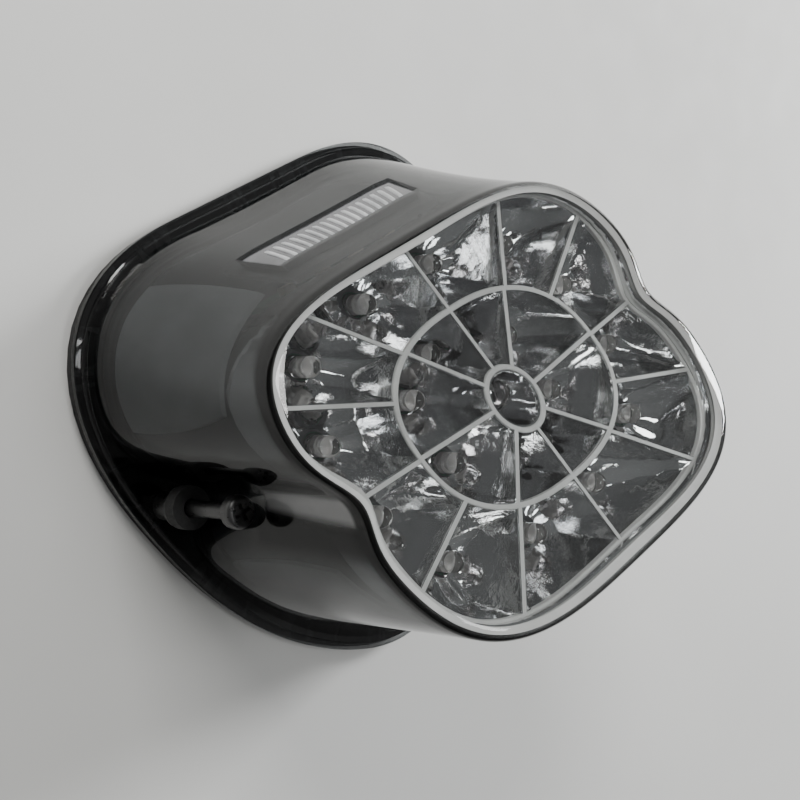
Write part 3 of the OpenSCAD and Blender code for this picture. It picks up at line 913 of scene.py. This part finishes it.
def outer_room(point, first, last):
    """Room round a point in a cell of the outer row."""
    away = point - Vector((0, FACE_Y))
    edge = cup_radius(math.degrees(math.atan2(away.y, away.x)), CELL_INSET) - away.length
    return min(spoke_room(point, first, last), ring_room(point), edge)


def inner_room(point, first, last):
    """Room round a point in a cell of the inner row."""
    hub = (point - Vector((0, HUB_Y))).length - HUB_R
    return min(spoke_room(point, first, last), -ring_room(point) - RIB, hub)


def hub_room(point, first, last):
    """Room round a point in the middle cell."""
    return HUB_R - RIB - (point - Vector((0, HUB_Y))).length


def list_cells():
    """Centre and room function of every cell on the +X side, and of the middle cell."""
    cells = []
    for first, last in zip(OUTER_SPOKES, OUTER_SPOKES[1:]):
        middle = (first + last) / 2
        radius = (ring_reach(middle) + face_radius(middle, CELL_INSET)) / 2
        cells.append(("outer", polar(radius, middle) + Vector((0, HUB_Y)), outer_room, first, last))
    for first, last in zip(INNER_SPOKES, INNER_SPOKES[1:]):
        middle = (first + last) / 2
        radius = (HUB_R + ring_reach(middle)) / 2
        cells.append(("inner", polar(radius, middle) + Vector((0, HUB_Y)), inner_room, first, last))
    cells.append(("centre", Vector((0, HUB_Y)), hub_room, 0, 0))
    return cells


def reach_of_cell(centre, room, first, last, angle):
    """Distance from the LED to the edge of its cell in one direction."""
    step = FIRST_STRIDE
    radius = LED_HOLE / 2
    while room(centre + polar(radius + step, angle), first, last) > CELL_GAP:
        radius += step
    for _ in range(HALVINGS):
        step /= 2
        if room(centre + polar(radius + step, angle), first, last) > CELL_GAP:
            radius += step
    return radius


def bowl_shape(cell):
    """Mirror bowl of one cell: a fluted paraboloid about the LED, cut by steep flat walls at the ribs."""
    _, centre, room, first, last = cell
    angles = [360 * turn / BOWL_TURNS for turn in range(BOWL_TURNS)]
    reaches = [reach_of_cell(centre, room, first, last, angle) for angle in angles]
    start = LED_HOLE / 2
    full = max(reaches) * FULL_DEPTH_AT
    points = []
    for row in range(BOWL_RINGS + 1):
        share = row / BOWL_RINGS
        for angle, reach in zip(angles, reaches):
            radius = start + (reach - start) * share
            flat = centre + polar(radius, angle)
            dish = CELL_DEPTH * (radius ** 2 - start ** 2) / (full ** 2 - start ** 2)
            side = CELL_DEPTH - BOWL_WALL_STEEPNESS * max(0, room(flat, first, last))
            # The flutes fade out at the LED and at the mouth.
            dish += FLUTE * math.sin(math.radians(FLUTES * angle)) * share * (1 - share) * 4
            lift = max(min(max(dish, side), CELL_DEPTH) - MOUTH_LIP, BOWL_SKIN)
            points.append(Vector((flat.x, flat.y, plane_z(flat.y, FLOOR_DEPTH - lift))))
    return points, loft_faces(BOWL_RINGS + 1, BOWL_TURNS, True)


def make_bowls(cells, materials):
    """All the mirror bowls as one piece, black close round each LED as painted shade and painted reflection
    of the dark hole there.
    """
    shapes = []
    for cell in cells:
        shape = bowl_shape(cell)
        shapes.append(shape)
        if cell[0] != "centre":
            shapes.append(mirrored(shape))
    bowls = make_piece("reflector_bowls", *gathered(shapes), materials["chrome"], BOWL_SHARP_ANGLE)
    bowls.data.materials.append(materials["black_plastic"])
    feet = point_tree([foot * MM for row in LED_NODES for foot in led_places(cells, row)])
    # Near an LED foot the black slot is painted shade and painted reflection of the dark hole.
    for polygon in bowls.data.polygons:
        polygon.material_index = 1 if feet.find(polygon.center)[2] < PAINTED_SHADE_ROUND_LED * MM else 0
    return declare(bowls, "chrome")


def strip(path, width, top, bottom, closed):
    """Flat-topped bar with bevelled edges along a path of flat points, below the lens face."""
    half = width / 2
    section = (
        (-half, bottom), (-half, top + RIB_BEVEL), (-half + RIB_BEVEL, top),
        (half - RIB_BEVEL, top), (half, top + RIB_BEVEL), (half, bottom),
    )
    points = []
    for index, here in enumerate(path):
        ahead = path[(index + 1) % len(path)] if closed or index + 1 < len(path) else here
        behind = path[index - 1] if closed or index > 0 else here
        along = (ahead - behind).normalized()
        across = Vector((-along.y, along.x))
        for offset, depth in section:
            flat = here + across * offset
            points.append(Vector((flat.x, flat.y, plane_z(flat.y, depth))))
    count = len(section)
    rows = len(path)
    if closed:
        points.extend(points[:count])
        rows += 1
    faces = loft_faces(rows, count, True)
    if not closed:
        faces.append(cap(0, count))
        faces.append(cap((rows - 1) * count, count))
    return points, faces


def ring_path():
    """Middle of the wall of the ring between the two rows of cells."""
    return ring(lambda a: polar(ring_reach(a) - RIB / 2, a) + Vector((0, RING_Y)))


def hub_path():
    """Middle of the wall of the hub."""
    angles = [360 * turn / HUB_TURNS for turn in range(HUB_TURNS)]
    return [polar(HUB_R - RIB / 2, angle) + Vector((0, HUB_Y)) for angle in angles]


def cup_path(inset):
    """Outline of the reflector cup."""
    return ring(lambda a: polar(cup_radius(a, inset), a) + Vector((0, FACE_Y)))


def along_spoke(angle, test, start):
    """First radius from the hub, in small steps, at which the test holds."""
    radius = start
    while not test(polar(radius, angle) + Vector((0, HUB_Y))):
        radius += SPOKE_STRIDE
    return radius


def ring_met(point):
    """True once a point has reached the middle of the ring's wall."""
    return ring_room(point) > -RIB / 2


def cup_left(point):
    """True once a point has left the cup."""
    away = point - Vector((0, FACE_Y))
    return away.length > cup_radius(math.degrees(math.atan2(away.y, away.x)), CELL_INSET)


def spoke_shapes(spoke, is_outer, top, bottom):
    """Tops of one spoke and of its mirror image."""
    shapes = []
    for angle in ((spoke,) if abs(spoke) == 90 else (spoke, 180 - spoke)):
        edge = along_spoke(angle, ring_met, HUB_R)
        start = edge if is_outer else HUB_R - RIB / 2
        end = along_spoke(angle, cup_left, edge) if is_outer else edge
        path = [polar(radius, angle) + Vector((0, HUB_Y)) for radius in (start, end)]
        shapes.append(strip(path, RIB, top, bottom, False))
    return shapes


def make_ribs(material):
    """Satin tops of the hub ring, the ring, the spokes and the rim of the reflector."""
    top = REFLECTOR_GAP - RIB_STAND
    bottom = REFLECTOR_GAP + RIB_SKIRT
    shapes = [
        strip(ring_path(), RING_WIDTH, top, bottom, True),
        strip(hub_path(), RING_WIDTH, top, bottom, True),
    ]
    for spokes, is_outer in ((OUTER_SPOKES, True), (INNER_SPOKES, False)):
        for spoke in spokes:
            shapes += spoke_shapes(spoke, is_outer, top + RIB_ORDER, bottom)
    shapes.append(strip(cup_path(CELL_INSET), RIB, top + 2 * RIB_ORDER, bottom, True))
    return declare(make_piece("reflector_ribs", *gathered(shapes), material), "chrome")


def make_collar(material):
    """Pale band that rises from the reflector mouth to the edge of the face."""
    mouth = cup_path(CELL_INSET - RIB / 2)
    points = [Vector((flat.x, flat.y, plane_z(flat.y, REFLECTOR_GAP - COLLAR_FOOT))) for flat in mouth]
    for gap, depth in COLLAR_RINGS:
        points.extend(face_point(angle, WALL + gap, depth) for angle in lens_angles())
    faces = loft_faces(len(COLLAR_RINGS) + 1, LENS_STEPS, True)
    return declare(make_piece("reflector_collar", points, faces, material), "chrome")


def led_places(cells, row):
    """Foot of every LED in one row of cells."""
    places = []
    for name, centre, *_ in cells:
        if name != row:
            continue
        for side in ((1,) if row == "centre" else (1, -1)):
            places.append(Vector((side * centre.x, centre.y, plane_z(centre.y, FLOOR_DEPTH + FLOOR))))
    return places


def dome_shape():
    """Clear LED body: flange, barrel and dome."""
    barrel = LED_D / 2
    flange = LED_FLANGE_D / 2
    profile = [
        (LED_CORE, 0), (flange - LED_BEVEL, 0), (flange, LED_BEVEL), (flange, LED_FLANGE - LED_BEVEL),
        (flange - LED_BEVEL, LED_FLANGE), (barrel, LED_FLANGE + LED_BEVEL / 2),
    ]
    for angle in range(0, 91, LED_DOME_STEP):
        around = math.radians(angle)
        height = LED_BODY - barrel + barrel * math.sin(around) - SKIN
        profile.append((max(LED_TIP, barrel * math.cos(around)), height))
    return tube_of(profile, LED_TURNS)


def frame_shape():
    """Metal inside an LED, the post and the anvil with its cup, and two pale discs as a painted reflection
    of the bands that the clear barrel shows.
    """
    cup = tube_of(LED_CUP, LED_TURNS)
    # Pale discs: a painted reflection of the bands that the clear barrel shows.
    bands = [tube_of([(REFLECTION_BAND_R, low), (REFLECTION_BAND_R, low + REFLECTION_BAND_HEIGHT)], LED_TURNS) for low in REFLECTION_BAND_STARTS]
    return gathered([box_of(*LED_POST), box_of(*LED_ANVIL), cup, *bands])


def make_leds(cells, row, node, materials):
    """The clear bodies of one row of LEDs, and the metal and the painted reflection bands inside them."""
    places = led_places(cells, row)
    domes = gathered([moved(dome_shape(), place) for place in places])
    declare(make_piece(node + "_domes", *domes, materials["led_epoxy"]), "led_epoxy", node)
    frames = gathered([moved(frame_shape(), place) for place in places])
    declare(make_piece(node + "_frames", *frames, materials["satin_chrome"]), "tinned_lead")


def soften(node):
    """Small rounded edges on a CAD node, without changing its mesh."""
    modifier = node.modifiers.new("edge", "BEVEL")
    modifier.width = SOFT_EDGE * MM
    modifier.segments = 2
    modifier.limit_method = "ANGLE"
    modifier.angle_limit = math.radians(SOFT_ANGLE)
    modifier.use_clamp_overlap = True


def dress_nodes(frame, materials):
    """Gives every CAD node the material of its slot."""
    slots = {part["node"]: part["material_slot"] for part in frame["record"]["subparts"]}
    for name, node in frame["nodes"].items():
        node.data.materials.clear()
        node.data.materials.append(materials[slots[name]])
    for name in ("seat_sleeves", "seat_washers", "seat_rings", "screw_left", "screw_right"):
        soften(frame["nodes"][name])


# ---------------------------------------------------------------- stage


def floor_material():
    """Plain pale surface with faint mottling."""
    return solid_material(
        "pale_floor", (0.49, 0.49, 0.476), (0.53, 0.53, 0.516), (0.75, 0.90), grain=60, relief=0.00003)


def make_floor():
    """Wide flat floor under the lamp."""
    lines = [FLOOR_HALF * (2 * step / FLOOR_STEPS - 1) for step in range(FLOOR_STEPS + 1)]
    points = [Vector((x, y, -SKIN)) for y in lines for x in lines]
    floor = make_piece("floor", points, loft_faces(len(lines), len(lines), False), floor_material())


def add_area(name, place, size, power, colour):
    """Soft square lamp that looks at the middle of the tail light."""
    data = bpy.data.lights.new(name, "AREA")
    data.shape = "SQUARE"
    data.size = size
    data.energy = power
    data.color = colour
    lamp = bpy.data.objects.new(name, data)
    lamp.location = place
    lamp.rotation_euler = (LIGHT_TARGET - Vector(place)).to_track_quat("-Z", "Y").to_euler()
    bpy.context.scene.collection.objects.link(lamp)


def make_lights():
    """Large soft lamps and a grey sky that is darker near the horizon."""
    for light in LIGHTS:
        add_area(*light)
    world = bpy.data.worlds.new("studio")
    world.use_nodes = True
    tree = world.node_tree
    place = tree.nodes.new("ShaderNodeTexCoord")
    split = tree.nodes.new("ShaderNodeSeparateXYZ")
    ramp = tree.nodes.new("ShaderNodeMapRange")
    ramp.inputs["From Min"].default_value = 0.0
    ramp.inputs["From Max"].default_value = SKY_TOP
    ramp.inputs["To Min"].default_value = SKY_DARK
    ramp.inputs["To Max"].default_value = SKY_LIGHT
    tree.links.new(place.outputs["Generated"], split.inputs["Vector"])
    tree.links.new(split.outputs["Z"], ramp.inputs["Value"])
    tree.links.new(ramp.outputs["Result"], tree.nodes["Background"].inputs["Color"])
    bpy.context.scene.world = world


def make_camera():
    """Camera held on its side above one flank, as the lamp is seen from its screw channel."""
    azimuth = math.radians(CAMERA_AZIMUTH)
    elevation = math.radians(CAMERA_ELEVATION)
    back = Vector((
        math.cos(elevation) * math.cos(azimuth),
        math.cos(elevation) * math.sin(azimuth),
        math.sin(elevation),
    ))
    level = Vector((0, 0, 1)).cross(back).normalized()
    upright = back.cross(level)
    roll = math.radians(CAMERA_ROLL)
    right = level * math.cos(roll) + upright * math.sin(roll)
    up = upright * math.cos(roll) - level * math.sin(roll)
    data = bpy.data.cameras.new("camera")
    data.lens = CAMERA_LENS
    data.clip_start = 0.01
    camera = bpy.data.objects.new("camera", data)
    turn = Matrix((right, up, back)).transposed().to_4x4()
    camera.matrix_world = Matrix.Translation(CAMERA_TARGET + back * CAMERA_DISTANCE) @ turn
    bpy.context.scene.collection.objects.link(camera)
    bpy.context.scene.camera = camera


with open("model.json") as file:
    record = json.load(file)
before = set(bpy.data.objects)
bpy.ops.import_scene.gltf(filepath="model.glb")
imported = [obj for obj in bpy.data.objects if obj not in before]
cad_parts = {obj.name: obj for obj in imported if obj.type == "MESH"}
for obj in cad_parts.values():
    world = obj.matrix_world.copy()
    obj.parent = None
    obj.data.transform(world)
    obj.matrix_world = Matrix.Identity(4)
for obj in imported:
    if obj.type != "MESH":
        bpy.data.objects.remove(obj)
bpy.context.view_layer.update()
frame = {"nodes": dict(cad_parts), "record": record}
# Named after the slots of the record, with a few more for the finer pieces.
materials = {**make_metals(), **make_plastics(), **make_electrics()}
cells = list_cells()
dress_nodes(frame, materials)
make_lens(materials)
make_liner(materials["grey_satin"])
make_window(materials)
make_bowls(cells, materials)
make_ribs(materials["satin_chrome"])
make_collar(materials["rim_satin"])
for row, node in LED_NODES.items():
    make_leds(cells, row, node, materials)
make_floor()
make_lights()
make_camera()
